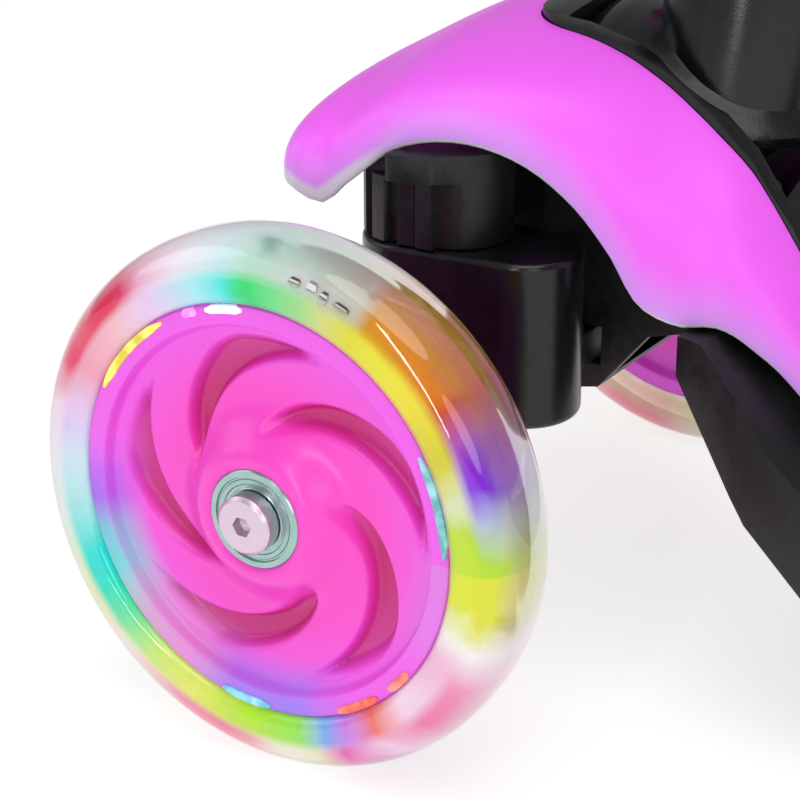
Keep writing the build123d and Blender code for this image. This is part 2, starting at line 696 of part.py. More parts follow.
with BuildPart() as deck:
    half = deck_width / 2
    with BuildSketch(Plane.XY) as plan:
        with BuildLine():
            Polyline(
                (front_x + neck_front, -48), (front_x - 78, -half + 4), (front_x - 100, -half),
                (rear_x + 120, -half), (rear_x + 45, -fork_half - fork_wall), (fork_end, -fork_half - fork_wall),
                (fork_end, fork_half + fork_wall), (rear_x + 45, fork_half + fork_wall), (rear_x + 120, half),
                (front_x - 100, half), (front_x - 78, half - 4), (front_x + neck_front, 48), close=True,
            )
        make_face()
        fillet(plan.vertices().filter_by_position(Axis.X, rear_x + 44, front_x - 77), 12)
    extrude(amount=4 * front_r)
    with BuildSketch(Plane.XZ):
        with BuildLine():
            Polyline(
                *[(front_x + x, axle_z + z) for x, z in (
                    (neck_front, 22), (neck_front, 31), (-68, 31), (-77, 23), (-87, 11), (-100, 2),
                    (-116, deck_top),
                )],
                (rear_x - 20, top_z), (rear_x - 20, rear_axle_z - 12), (rear_x + 40, rear_axle_z - 12),
                (rear_x + 70, bottom_z),
                *[(front_x + x, axle_z + z) for x, z in ((-98, deck_bottom), (-82, -6))],
                close=True,
            )
        make_face()
    extrude(amount=deck_width, both=True, mode=Mode.INTERSECT)
    # Hollow underneath, with a skin on top and walls round the edge.
    for y in (-1, 1):
        for k in range(rib_count):
            length = (front_x - 100 - (rear_x + 100)) / rib_count
            x = rear_x + 100 + (k + 0.5) * length
            with Locations((x, y * (half - deck_wall) / 2, bottom_z + (deck_top - deck_bottom - deck_skin) / 2)):
                Box(length - deck_rib, half - deck_wall - deck_rib, deck_top - deck_bottom - deck_skin,
                    mode=Mode.SUBTRACT)
    # Fork slot for the rear wheel, and its axle and hinge-pin bores.
    with Locations(((slot_front + rear_x - 40) / 2, 0, rear_axle_z)):
        Box(slot_front - rear_x + 40, 2 * fork_half, 3 * rear_r, mode=Mode.SUBTRACT)
    with BuildSketch(across(-half, rear_x, rear_axle_z)):
        Circle(axle_d / 2)
    extrude(amount=deck_width, mode=Mode.SUBTRACT)
    with BuildSketch(across(-half, rear_x + hinge_x, hinge_z)):
        Circle(hinge_pin_d / 2)
    extrude(amount=deck_width, mode=Mode.SUBTRACT)
    # Seat for the truck's tongue, its bolts, and the inlay for the grip pad.
    with Locations((front_x + (tongue_rear + neck_front) / 2 - 0.1, 0, axle_z + seat_z + 30)):
        Box(neck_front - tongue_rear + 0.2, 2 * tongue_half + 0.4, 60, mode=Mode.SUBTRACT)
    for x in tongue_bolt_x:
        with Locations((front_x + x, 10, top_z), (front_x + x, -10, top_z)):
            Hole(2.75, 60)
    with Locations(((pad_front + pad_rear) / 2, 0, top_z)):
        Box(pad_front - pad_rear, 2 * pad_half, 2 * pad_inlay, mode=Mode.SUBTRACT)
    # Shallow grooves across the deck mark off the standing area from the ramp and the fork.
    with Locations((pad_front + groove_gap, 0, top_z), (pad_rear - groove_back, 0, top_z)):
        Box(groove_w, 2 * deck_width, 2 * groove_depth, mode=Mode.SUBTRACT)
save(deck.part, "deck")

with BuildPart() as grip_pad:
    with Locations(((pad_front + pad_rear) / 2, 0, top_z - pad_inlay + pad_t / 2)):
        Box(pad_front - pad_rear - 0.4, 2 * pad_half - 0.4, pad_t)
    fillet(grip_pad.edges().filter_by(Axis.Z), 6)
    with Locations(((pad_front + pad_rear) / 2, 0, top_z - pad_inlay + pad_t)):
        with GridLocations(0, 9, 1, 9):
            Box(pad_front - pad_rear - 20, 3, 1.2)
save(grip_pad.part, "grip_pad")

with BuildPart() as truck_bolts:
    for x in tongue_bolt_x:
        for y in (-10, 10):
            with BuildSketch(Plane.XY.offset(bottom_z + 1)):
                with Locations((front_x + x, y)):
                    Circle(2.75)
            extrude(amount=axle_z + seat_z + tongue_t - bottom_z - 1)
            with BuildSketch(Plane.XY.offset(axle_z + seat_z + tongue_t)):
                with Locations((front_x + x, y)):
                    Circle(4.8)
            extrude(amount=3)
save(truck_bolts.part, "truck_bolts")


# --- T-bar: telescoping tubes in the lean hub, a clamp with a lever, and the handlebar --------------
def tube(start, length, outer, inner):
    """A straight tube on the stem's axis, from a given height up it."""
    with BuildPart() as body:
        with BuildSketch(stem_plane(start)):
            Circle(outer / 2)
            if inner:
                Circle(inner / 2, mode=Mode.SUBTRACT)
        extrude(amount=length)
    return body.part


lower_top = tube_seat + lower_tube_len
bar_height = (handlebar_height - pivot_z) / stem_axis[2]
inner_start = tube_seat + 150.0
lower_inside = lower_tube_d - 2 * lower_tube_wall
bush_gap = 0.05

with BuildPart() as lower_tube:
    add(tube(tube_seat, lower_tube_len, lower_tube_d, lower_inside))
    with BuildSketch(button_plane(0)):
        Circle(button_d / 2 + button_gap)
    extrude(amount=socket_r + 5, mode=Mode.SUBTRACT)
save(lower_tube.part, "lower_tube")
save(tube(lower_top - 40, 40, lower_inside, inner_tube_d + 2 * bush_gap), "guide_bush")
save(tube(inner_start, bar_height - inner_start - 12, inner_tube_d, inner_tube_d - 2 * inner_tube_wall), "inner_tube")
save(tube(inner_start - 25, 25, lower_inside - 2 * bush_gap, 10), "tube_foot")

button_travel = 3.1

with BuildPart() as release_button:
    with BuildSketch(button_plane(lower_inside / 2 - 7)):
        Circle(button_d / 2)
    extrude(amount=socket_r + 3.5 - lower_inside / 2 + 7)
    chamfer(release_button.faces().sort_by(Axis.X)[-1].edges(), 1)
save(release_button.part, "release_button")

with BuildPart() as button_spring:
    coil_r, wire = 3.6, 1.0
    spring_len = lower_inside - 7 - 0.9 - button_travel
    with BuildSketch(button_plane(-lower_inside / 2 + 0.8)):
        Circle(coil_r + wire / 2)
        Circle(coil_r - wire / 2, mode=Mode.SUBTRACT)
    extrude(amount=spring_len)
save(button_spring.part, "button_spring")

# Clamp collar at the top of the lower tube, with its ears at the back.
collar_od, collar_h, ear_t, ear_gap = 44.0, 30.0, 7.0, 4.0
collar_low = lower_top - collar_h - 2
ear_out = 36.0
clamp_bolt_d = 6.0


def clamp_plane(side_shift):
    """A plane square to Y through the clamp bolt, shifted sideways."""
    x, _, z = stem_axis
    h = collar_low + collar_h / 2
    back = ear_out - 8
    return Plane(
        origin=(stem_x + x * h - z * back, side_shift, pivot_z + z * h + x * back),
        x_dir=(-z, 0, x), z_dir=(0, 1, 0),
    )


with BuildPart() as clamp_collar:
    with BuildSketch(stem_plane(collar_low)):
        Circle(collar_od / 2)
        with Locations((0, ear_out / 2)):
            Rectangle(2 * ear_t + ear_gap, ear_out)
        Circle(lower_tube_d / 2, mode=Mode.SUBTRACT)
        with Locations((0, ear_out / 2)):
            Rectangle(ear_gap, ear_out + 2, mode=Mode.SUBTRACT)
    extrude(amount=collar_h)
    with BuildSketch(clamp_plane(-30)):
        Circle(clamp_bolt_d / 2)
    extrude(amount=60, mode=Mode.SUBTRACT)
save(clamp_collar.part, "clamp_collar")

lever_pivot_y = collar_od / 2 + 8
lever_pin_d = 5.0


def lever_plane(shift):
    """A plane square to the lever's pin, at the clamp bolt's eye, shifted up the stem."""
    hinge = clamp_plane(lever_pivot_y)
    return Plane(origin=hinge.origin, x_dir=hinge.x_dir, z_dir=stem_axis).offset(shift)


with BuildPart() as clamp_bolt:
    with BuildSketch(clamp_plane(-ear_t - ear_gap / 2 - 5)):
        Circle(clamp_bolt_d / 2)
    extrude(amount=ear_t + ear_gap / 2 + 5 + lever_pivot_y)
    with BuildSketch(clamp_plane(-ear_t - ear_gap / 2 - 5)):
        RegularPolygon(5, 6, major_radius=False)
    extrude(amount=5)
    with BuildSketch(lever_plane(-3.5)):
        Circle(5)
    extrude(amount=7)
    with BuildSketch(lever_plane(-9)):
        Circle(lever_pin_d / 2)
    extrude(amount=18, mode=Mode.SUBTRACT)
save(clamp_bolt.part, "clamp_bolt")

with BuildPart() as lever_pin:
    with BuildSketch(lever_plane(-9)):
        Circle(lever_pin_d / 2)
    extrude(amount=18)
save(lever_pin.part, "lever_pin")

with BuildPart() as clamp_lever:
    with BuildSketch(lever_plane(-9)):
        Circle(7)
        with BuildLine():
            Polyline((0, 7), (0, -7), (-20, -7.5), (-48, -3), (-50, 1), (-46, 3), (-22, 1), (0, 7))
        make_face()
    extrude(amount=18)
    with BuildSketch(lever_plane(-4)):
        Rectangle(18, 40)
    extrude(amount=8, mode=Mode.SUBTRACT)
    with BuildSketch(lever_plane(-9)):
        Circle(lever_pin_d / 2 + 0.05)
    extrude(amount=18, mode=Mode.SUBTRACT)
save(clamp_lever.part, "clamp_lever")

# Handlebar: a moulded tee on the inner tube with the bar through it.
tee_r, tee_low = 18.0, 34.0
bar_wall = 1.6
cap_t = 4.0
bar_place = (stem_x + stem_axis[0] * bar_height, pivot_z + stem_axis[2] * bar_height)


def bar_plane(y):
    return across(y, bar_place[0], bar_place[1])


half_bar = handlebar_width / 2
with BuildPart() as handlebar_tee:
    with BuildSketch(stem_plane(bar_height - tee_low)):
        Circle(tee_r)
    extrude(amount=tee_low)
    with BuildSketch(bar_plane(-28)):
        Circle(tee_r)
    extrude(amount=56)
    fillet(handlebar_tee.edges().filter_by(GeomType.CIRCLE), 2.5)
    with BuildSketch(bar_plane(-30)):
        Circle(bar_d / 2)
    extrude(amount=60, mode=Mode.SUBTRACT)
    with BuildSketch(stem_plane(bar_height - tee_low - 1)):
        Circle(inner_tube_d / 2)
    extrude(amount=tee_low - 11, mode=Mode.SUBTRACT)
save(handlebar_tee.part, "handlebar_tee")

with BuildPart() as handlebar:
    with BuildSketch(bar_plane(-half_bar + cap_t)):
        Circle(bar_d / 2)
        Circle(bar_d / 2 - bar_wall, mode=Mode.SUBTRACT)
    extrude(amount=2 * (half_bar - cap_t))
save(handlebar.part, "handlebar")

for side, name in ((1, "left"), (-1, "right")):
    start = half_bar - cap_t - grip_len
    with BuildPart() as grip:
        with BuildSketch(out_plane(side, start, *bar_place)):
            Circle(grip_d / 2)
        extrude(amount=grip_len)
        with BuildSketch(out_plane(side, start, *bar_place)):
            Circle(grip_d / 2 + 4)
        extrude(amount=4)
        fillet(grip.edges().filter_by(GeomType.CIRCLE), 1.2)
        with BuildSketch(out_plane(side, start, *bar_place)):
            Circle(bar_d / 2)
        extrude(amount=grip_len, mode=Mode.SUBTRACT)
    save(grip.part, f"{name}_grip")

with BuildPart() as bar_caps:
    for side in (1, -1):
        with BuildSketch(out_plane(side, half_bar - cap_t, *bar_place)):
            Circle(grip_d / 2 - 0.5)
        extrude(amount=cap_t)
        with BuildSketch(out_plane(side, half_bar - cap_t - 12, *bar_place)):
            Circle(bar_d / 2 - bar_wall)
        extrude(amount=12)
save(bar_caps.part, "bar_caps")


# --- Rear wheel, its axle, and the brake fender that presses on it -----------------------------------
rear_hub_half = rear_tyre_width / 2 - 2
rear_core_r = rear_r - 12
rear_rim_w = rear_tyre_width - 5
save(wheel_core(rear_x, 0, rear_axle_z, rear_core_r, rear_rim_w, rear_hub_half, 0), "rear_core")
save(tread(rear_x, 0, rear_axle_z, rear_r, rear_core_r, rear_tyre_width, rear_rim_w), "rear_tyre")
save(bearing_pair(rear_x, 0, rear_axle_z, rear_hub_half), "rear_bearings")
save(hub_spacer(rear_x, 0, rear_axle_z, rear_hub_half), "rear_hub_spacer")
fork_outer = fork_half + fork_wall
save(axle_bolt(1, -fork_outer - 2, fork_outer, rear_x, rear_axle_z), "rear_axle_bolt")

with BuildPart() as rear_axle_nut:
    with BuildSketch(across(-fork_outer - 6.5, rear_x, rear_axle_z)):
        RegularPolygon(6.5, 6, major_radius=False)
        Circle(axle_d / 2, mode=Mode.SUBTRACT)
    extrude(amount=6.5)
save(rear_axle_nut.part, "rear_axle_nut")

with BuildPart() as axle_sleeves:
    for side in (1, -1):
        with BuildSketch(out_plane(side, rear_hub_half + 0.05, rear_x, rear_axle_z)):
            Circle(spacer_od / 2)
            Circle(axle_d / 2, mode=Mode.SUBTRACT)
        extrude(amount=fork_half - rear_hub_half - 0.05)
save(axle_sleeves.part, "axle_sleeves")

fender_r, fender_t, fender_half = rear_overhang, 3.0, fork_half + 2
fender_start, fender_end = 35.0, 178.0  # degrees round the rear axle from straight ahead
hinge_barrel_r = 5.0
tab_half = 11.0

with BuildPart() as brake_fender:
    with BuildSketch(Plane.XZ.shift_origin((rear_x, 0, rear_axle_z))) as arc_face:
        with BuildLine():
            CenterArc((0, 0), fender_r, fender_start, fender_end - fender_start)
            CenterArc((0, 0), fender_r - fender_t, fender_start, fender_end - fender_start)
            for angle in (fender_start, fender_end):
                turn = math.radians(angle)
                Line(
                    (fender_r * math.cos(turn), fender_r * math.sin(turn)),
                    ((fender_r - fender_t) * math.cos(turn), (fender_r - fender_t) * math.sin(turn)),
                )
        make_face()
    extrude(amount=fender_half, both=True)
    fillet(brake_fender.edges().filter_by(Axis.Y).sort_by(Axis.X)[-2:], 1.2)
    turn = math.radians(fender_start)
    joint_x, joint_z = rear_x + fender_r * math.cos(turn), rear_axle_z + fender_r * math.sin(turn)
    with BuildSketch(Plane.XZ):
        with BuildLine():
            Polyline(
                (joint_x + 1, joint_z - 2), (joint_x - 4, joint_z + 2), (joint_x - 8, joint_z - 2),
                (rear_x + hinge_x - hinge_barrel_r + 0.4, hinge_z), (rear_x + hinge_x + hinge_barrel_r - 0.4, hinge_z),
                (rear_x + hinge_x + 4, hinge_z + 5), close=True,
            )
        make_face()
    extrude(amount=tab_half, both=True)
    with BuildSketch(across(-tab_half, rear_x + hinge_x, hinge_z)):
        Circle(hinge_barrel_r)
    extrude(amount=2 * tab_half)
    with BuildSketch(across(-fork_half, rear_x + hinge_x, hinge_z)):
        Circle(hinge_pin_d / 2 + 0.05)
    extrude(amount=2 * fork_half, mode=Mode.SUBTRACT)
save(brake_fender.part, "brake_fender")

with BuildPart() as brake_hinge_pin:
    with BuildSketch(across(-fork_outer, rear_x + hinge_x, hinge_z)):
        Circle(hinge_pin_d / 2)
    extrude(amount=2 * fork_outer)
save(brake_hinge_pin.part, "brake_hinge_pin")

with BuildPart() as brake_springs:
    for side in (1, -1):
        with BuildSketch(out_plane(side, tab_half + 0.3, rear_x + hinge_x, hinge_z)):
            Circle(hinge_pin_d / 2 + 1.8)
            Circle(hinge_pin_d / 2 + 0.4, mode=Mode.SUBTRACT)
        extrude(amount=fork_half - tab_half - 0.6)
save(brake_springs.part, "brake_springs")

pad_arc = 34.0
with BuildPart() as brake_shoe:
    with BuildSketch(Plane.XZ.shift_origin((rear_x, 0, rear_axle_z))):
        shoe_r = fender_r - fender_t - 0.1
        with BuildLine():
            for radius in (shoe_r, shoe_r - 2.5):
                CenterArc((0, 0), radius, 90 - pad_arc / 2, pad_arc)
            for angle in (90 - pad_arc / 2, 90 + pad_arc / 2):
                turn = math.radians(angle)
                Line((shoe_r * math.cos(turn), shoe_r * math.sin(turn)),
                     ((shoe_r - 2.5) * math.cos(turn), (shoe_r - 2.5) * math.sin(turn)))
        make_face()
    extrude(amount=rear_tyre_width / 2 - 3, both=True)
save(brake_shoe.part, "brake_shoe")

with BuildPart() as cover_screws:
    for side in (1, -1):
        with BuildSketch(Plane.XY.offset(axle_z + screw_seat)):
            with Locations((front_x + post_x, side * post_y)):
                Circle(2)
        extrude(amount=truck_top + 14 - screw_seat)
        with BuildSketch(Plane.XY.offset(axle_z + screw_seat - 3)):
            with Locations((front_x + post_x, side * post_y)):
                Circle(4)
                RegularPolygon(1.5, 6, mode=Mode.SUBTRACT)
        extrude(amount=3)
save(cover_screws.part, "cover_screws")
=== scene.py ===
import bpy
import bmesh
import json
import math
import numpy as np
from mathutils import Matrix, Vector


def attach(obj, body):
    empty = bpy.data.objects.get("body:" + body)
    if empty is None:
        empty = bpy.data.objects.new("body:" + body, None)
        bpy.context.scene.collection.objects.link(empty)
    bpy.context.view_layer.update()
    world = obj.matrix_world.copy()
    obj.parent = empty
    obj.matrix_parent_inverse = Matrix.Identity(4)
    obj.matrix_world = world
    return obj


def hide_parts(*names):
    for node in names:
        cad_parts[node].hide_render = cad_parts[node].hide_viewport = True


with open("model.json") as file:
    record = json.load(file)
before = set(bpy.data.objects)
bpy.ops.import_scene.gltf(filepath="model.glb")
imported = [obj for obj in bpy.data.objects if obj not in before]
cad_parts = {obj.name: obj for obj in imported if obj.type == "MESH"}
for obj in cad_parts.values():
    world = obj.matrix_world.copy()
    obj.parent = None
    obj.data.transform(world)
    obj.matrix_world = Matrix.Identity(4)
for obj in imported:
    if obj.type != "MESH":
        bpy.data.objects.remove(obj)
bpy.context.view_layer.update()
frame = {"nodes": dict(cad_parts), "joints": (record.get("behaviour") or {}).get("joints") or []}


# --- Deck --------------------------------------------------------------------------------------------
# The board the child stands on: one moulding of black glass-filled nylon, ribbed underneath, with a
# ramp up to the neck in front and a fork for the rear wheel. Its face has the fine grain of the tool.

class Wire:
    """A shader value that can stand in a sum: each operator adds its Math node."""

    def __init__(self, finish, socket):
        self.finish, self.socket = finish, socket

    def math(self, operation, first, second=0.0):
        return self.finish.node("ShaderNodeMath", {"operation": operation}, {0: first, 1: second})

    def __add__(self, other):
        return self.math("ADD", self, other)

    def __sub__(self, other):
        return self.math("SUBTRACT", self, other)

    def __rsub__(self, other):
        return self.math("SUBTRACT", other, self)

    def __mul__(self, other):
        return self.math("MULTIPLY", self, other)

    def __truediv__(self, other):
        return self.math("DIVIDE", self, other)

    def __pow__(self, other):
        return self.math("POWER", self, other)

    def above(self, other):
        return self.math("GREATER_THAN", self, other)

    def most(self, other):
        return self.math("MAXIMUM", self, other)

    def least(self, other):
        return self.math("MINIMUM", self, other)

    def root(self):
        return self.math("SQRT", self)

    def size(self):
        return self.math("ABSOLUTE", self)

    __radd__, __rmul__ = __add__, __mul__


class Finish:
    """A node material with one Principled surface, whose plain sockets are set by name."""

    def __init__(self, name, **plain):
        self.material = bpy.data.materials.new(name)
        self.material.use_nodes = True
        self.tree = self.material.node_tree
        self.surface = self.tree.nodes["Principled BSDF"]
        self.output = self.tree.nodes["Material Output"]
        self.plain(**plain)
        self.place = self.node("ShaderNodeTexCoord", output="Object")

    def plain(self, **values):
        for name, value in values.items():
            self.surface.inputs[name.replace("_", " ")].default_value = value

    def node(self, kind, settings=None, inputs=None, output=0):
        made = self.tree.nodes.new(kind)
        for name, value in (settings or {}).items():
            if name == "stops":
                ramp = made.color_ramp
                while len(ramp.elements) < len(value):
                    ramp.elements.new(0.5)
                for element, (place, colour) in zip(ramp.elements, value):
                    element.position, element.color = place, (*colour, 1)
            else:
                setattr(made, name, value)
        for name, value in (inputs or {}).items():
            if isinstance(value, Wire):
                self.tree.links.new(value.socket, made.inputs[name])
            else:
                made.inputs[name].default_value = value
        return Wire(self, made.outputs[output])

    def drive(self, name, value):
        self.tree.links.new(value.socket, self.surface.inputs[name])

    def noise(self, scale, detail=3.0, rough=0.55, place=None):
        return self.node("ShaderNodeTexNoise", None, {
            "Vector": place or self.place, "Scale": scale, "Detail": detail, "Roughness": rough,
        })

    def blend(self, share, first, second):
        """A colour between two others."""
        pair = {0: share, 6: first if isinstance(first, Wire) else (*first, 1),
                7: second if isinstance(second, Wire) else (*second, 1)}
        return self.node("ShaderNodeMix", {"data_type": "RGBA"}, pair, output=2)

    def bump(self, height, distance, strength=1.0):
        self.drive("Normal", self.node("ShaderNodeBump", None, {
            "Height": height, "Distance": distance, "Strength": strength,
        }))


def moulded_nylon(name, colour, worn, roughness=0.42):
    """Textured black nylon: fine grain, a slow change of gloss, and paler scuffs."""
    finish = Finish(name, Specular_IOR_Level=0.4)
    cloud, scuff = finish.noise(38.0, 4.0), finish.noise(420.0, 5.0, 0.7)
    mark = (cloud * scuff * 3.4 - 0.72).most(0.0).least(1.0)
    finish.drive("Base Color", finish.blend(mark, colour, worn))
    finish.drive("Roughness", cloud * 0.22 + (roughness - 0.1))
    finish.bump(finish.noise(2600.0, 2.0), 0.00006, 0.55)
    return finish.material


black_nylon = moulded_nylon("black_nylon", (0.0045, 0.0045, 0.0055), (0.022, 0.022, 0.025))


def ease(node, width, segments=3, sharp=32.0):
    """Rounds a CAD piece's edges, as a moulding tool or a deburring cut leaves them."""
    piece = frame["nodes"][node]
    weld = piece.modifiers.new("weld", "WELD")
    weld.merge_threshold = 0.00001
    if width:
        bevel = piece.modifiers.new("ease", "BEVEL")
        bevel.width, bevel.segments = width, segments
        bevel.limit_method, bevel.angle_limit = "ANGLE", math.radians(sharp)
        bevel.harden_normals = False
        bevel.use_clamp_overlap = True
    smooth(piece)
    return piece


def smooth(piece, angle=32.0):
    piece.data.polygons.foreach_set("use_smooth", [True] * len(piece.data.polygons))
    piece.data.set_sharp_from_angle(angle=math.radians(angle))
    piece.data.update()


def paint(piece, material):
    piece.data.materials.clear()
    piece.data.materials.append(material)
    return piece


paint(ease("deck", 0.0016), black_nylon)


# --- Grip pad ------------------------------------------------------------------------------------------
# A black rubber inlay with raised ridges, glued into the deck's recess so that a shoe doesn't slip. It is
# moulded flat, and its dull face keeps a little dust.

def soft_rubber(name, colour, dust, scale=1500.0):
    finish = Finish(name, Specular_IOR_Level=0.35)
    cloud = finish.noise(55.0, 5.0)
    finish.drive("Base Color", finish.blend((cloud * 1.6 - 0.5).most(0.0), colour, dust))
    finish.drive("Roughness", cloud * 0.2 + 0.6)
    finish.bump(finish.noise(scale, 3.0), 0.0001, 0.6)
    return finish.material


pad_rubber = soft_rubber("pad_rubber", (0.014, 0.014, 0.015), (0.06, 0.058, 0.055))
paint(ease("grip_pad", 0.0005), pad_rubber)


# --- Front truck ---------------------------------------------------------------------------------------
# The frame that carries the king-pins and the lean pivot: black glass-filled nylon like the deck's,
# with a housing in the middle and a ribbed column with a round flange at each side.

paint(ease("front_truck", 0.0007), black_nylon)


# --- Steel fastenings ----------------------------------------------------------------------------------
# Zinc-plated bolts, pins, springs and nuts, turned, rolled or wound, with the faint streaks of the plating
# bath. The king-pin bolts and their nuts are blackened instead.

def plated_steel(name, colour, tint, roughness=0.26):
    finish = Finish(name, Metallic=1.0)
    streak = finish.noise(340.0, 4.0, 0.6)
    finish.drive("Base Color", finish.blend(streak, colour, tint))
    finish.drive("Roughness", streak * 0.18 + (roughness - 0.06))
    finish.bump(finish.noise(2400.0, 2.0), 0.00002, 0.35)
    return finish.material


zinc_steel = plated_steel("zinc_steel", (0.62, 0.62, 0.64), (0.78, 0.77, 0.76))
for node in ("truck_bolts", "cover_screws", "lean_pivot_pin", "brake_hinge_pin", "brake_springs",
             "rear_axle_bolt", "rear_axle_nut", "axle_sleeves", "rear_hub_spacer", "clamp_bolt", "lever_pin",
             "button_spring", "left_rod_pin", "right_rod_pin", "left_hub_spacer", "right_hub_spacer",
             "left_axle_bolt", "right_axle_bolt", "brake_shoe"):
    paint(ease(node, 0.00035, 2), zinc_steel)


black_steel = plated_steel("black_steel", (0.035, 0.035, 0.038), (0.06, 0.06, 0.06), 0.34)
paint(ease("king_pin_bolts", 0.00035, 2), black_steel)


# --- Steering knuckles and tie rod ---------------------------------------------------------------------
# Each knuckle turns on its king-pin and carries a wheel's axle; the tie rod joins the two behind. The
# knuckles are satin moulded nylon, and the rod has the truck's own grain.

satin_black = moulded_nylon("satin_black", (0.004, 0.004, 0.005), (0.014, 0.014, 0.016), roughness=0.2)
for node in ("left_knuckle", "right_knuckle"):
    paint(ease(node, 0.0014, 4), satin_black)
paint(ease("tie_rod", 0.0008), black_nylon)


# --- Front cover ---------------------------------------------------------------------------------------
# A wing-shaped shell of glossy magenta polypropylene that arches over both steering knuckles, with a
# slot at the back for the black neck. It is moulded in one piece, about 2.5 mm thick.

spins = {joint["name"]: Vector(joint.get("pos_m", (0, 0, 0))) for joint in frame["joints"]}
axle = Vector((spins["left_wheel_spin"].x, 0, spins["left_wheel_spin"].z))
MM = 0.001

# Stations from nose to tail: distance from the front axle, crown height, half width, edge height.
cover_stations = np.array([
    (50.5, 53.2, 15, 50), (49, 57, 22, 50), (46.5, 61, 29, 50), (43, 65, 38, 50), (36, 70, 51, 52.5),
    (28, 75, 62, 56.5),
    (24, 77.3, 69.3, 58.2), (20, 79.5, 73, 58.2), (17, 81.3, 72.7, 56.5), (14, 83, 71, 55),
    (8, 86, 69, 60), (-3, 90, 65, 68.5), (-15, 91, 60.5, 70), (-27, 90.5, 56.5, 66.5), (-38, 88.5, 52.8, 58),
    (-46, 86, 50.6, 48), (-53, 83.5, 48.3, 36.5), (-60, 79, 45.5, 33), (-68, 71.5, 43.5, 33.5),
    (-78, 57, 40, 27.5),
    (-90, 34, 36, 15),
])
cover_wall = 2.5


def eased_stations(stations, count):
    """The stations' values on a smooth curve through them, sampled evenly along the way."""
    steps = np.linalg.norm(np.diff(stations, axis=0), axis=1)
    way = np.concatenate([[0], np.cumsum(steps)])
    slope = np.gradient(stations, way, axis=0)
    fine = np.linspace(0, way[-1], count)
    span = np.clip(np.searchsorted(way, fine, side="right") - 1, 0, len(way) - 2)
    length = (way[span + 1] - way[span])[:, None]
    t = ((fine - way[span]) / length[:, 0])[:, None]
    start, end = stations[span], stations[span + 1]
    return (
        (2 * t**3 - 3 * t**2 + 1) * start + (t**3 - 2 * t**2 + t) * length * slope[span]
        + (3 * t**2 - 2 * t**3) * end + (t**3 - t**2) * length * slope[span + 1]
    )


def shell_points(stations, inset, across_count=56):
    """Grid of points over the cover: rows are stations, columns run from the left edge to the right."""
    turn = np.linspace(0, np.pi, across_count)
    t = np.cos(turn)
    rise = (1 - np.abs(t) ** 1.6) ** (1 / 3)
    rows = []
    for x, crown, half, edge in stations:
        z = edge + (crown - inset - edge) * rise
        rows.append(np.stack([np.full_like(t, x), (half - inset) * t, z], axis=1))
    return np.array(rows)


def mesh_piece(name, points, faces):
    mesh = bpy.data.meshes.new(name)
    mesh.from_pydata([tuple(p) for p in points], [], faces)
    mesh.validate()
    piece = bpy.data.objects.new(name, mesh)
    bpy.context.scene.collection.objects.link(piece)
    return piece


def outward(piece):
    """Turns every face to point out of its closed body."""
    work = bmesh.new()
    work.from_mesh(piece.data)
    bmesh.ops.remove_doubles(work, verts=work.verts, dist=1e-7)
    bmesh.ops.recalc_face_normals(work, faces=work.faces)
    work.to_mesh(piece.data)
    work.free()
    return piece


def settle(piece):
    """Applies the piece's modifiers, so that its mesh is final."""
    graph = bpy.context.evaluated_depsgraph_get()
    final = bpy.data.meshes.new_from_object(piece.evaluated_get(graph))
    piece.modifiers.clear()
    piece.data = final
    return piece


def shell_piece(name, stations, wall, rows=72):
    """A closed thin shell under the stations' surface, with its two long rims rolled to a full round."""
    fine = eased_stations(np.array(stations, float), rows)
    outer, inner = shell_points(fine, 0.0), shell_points(fine, wall)
    turn = np.linspace(0, np.pi, 7)[1:-1]
    loops = []
    for (x, crown, half, edge), out, back in zip(fine, outer, inner[:, ::-1]):
        roll = np.stack([np.full_like(turn, x), half - wall / 2 + wall / 2 * np.cos(turn),
                         edge - wall / 2 * np.sin(turn)], axis=1)
        right = roll * (1, -1, 1)
        loops.append(np.concatenate([out, right, back, roll[::-1]]))
    loops = np.array(loops)
    count, around = loops.shape[:2]
    columns = outer.shape[1]
    faces = []
    for i in range(count - 1):
        for j in range(around):
            k = (j + 1) % around
            faces.append((i * around + j, i * around + k, (i + 1) * around + k, (i + 1) * around + j))
    for start in (0, (count - 1) * around):
        faces += [(start + j, start + j + 1, start + opposite - 1, start + opposite)
                  for j, opposite in ((j, columns + len(turn) + columns - 1 - j) for j in range(columns - 1))]
        faces.append(tuple(start + k for k in range(columns - 1, columns + len(turn) + 1)))
        faces.append((start,) + tuple(start + k for k in range(2 * columns + len(turn) - 1, around)))
    return outward(mesh_piece(name, loops.reshape(-1, 3) * MM + np.array(axle), faces))


def prism(name, outline, low, high):
    """An upright prism on a plan outline, in millimetres from the front axle."""
    count = len(outline)
    points = [(x, y, z) for z in (low, high) for x, y in outline]
    faces = [tuple(range(count))[::-1], tuple(range(count, 2 * count))]
    faces += [(i, (i + 1) % count, count + (i + 1) % count, count + i) for i in range(count)]
    return outward(mesh_piece(name, np.array(points) * MM + np.array(axle), faces))


def cut(piece, tool):
    """Takes the tool's body out of the piece."""
    knife = piece.modifiers.new("cut", "BOOLEAN")
    knife.operation, knife.solver, knife.object = "DIFFERENCE", "EXACT", tool
    settle(piece)
    bpy.data.objects.remove(tool)
    return piece


def arc_points(cx, cy, radius, start, end, steps=8):
    turns = [math.radians(start + (end - start) * i / steps) for i in range(steps + 1)]
    return [(cx + radius * math.cos(turn), cy + radius * math.sin(turn)) for turn in turns]


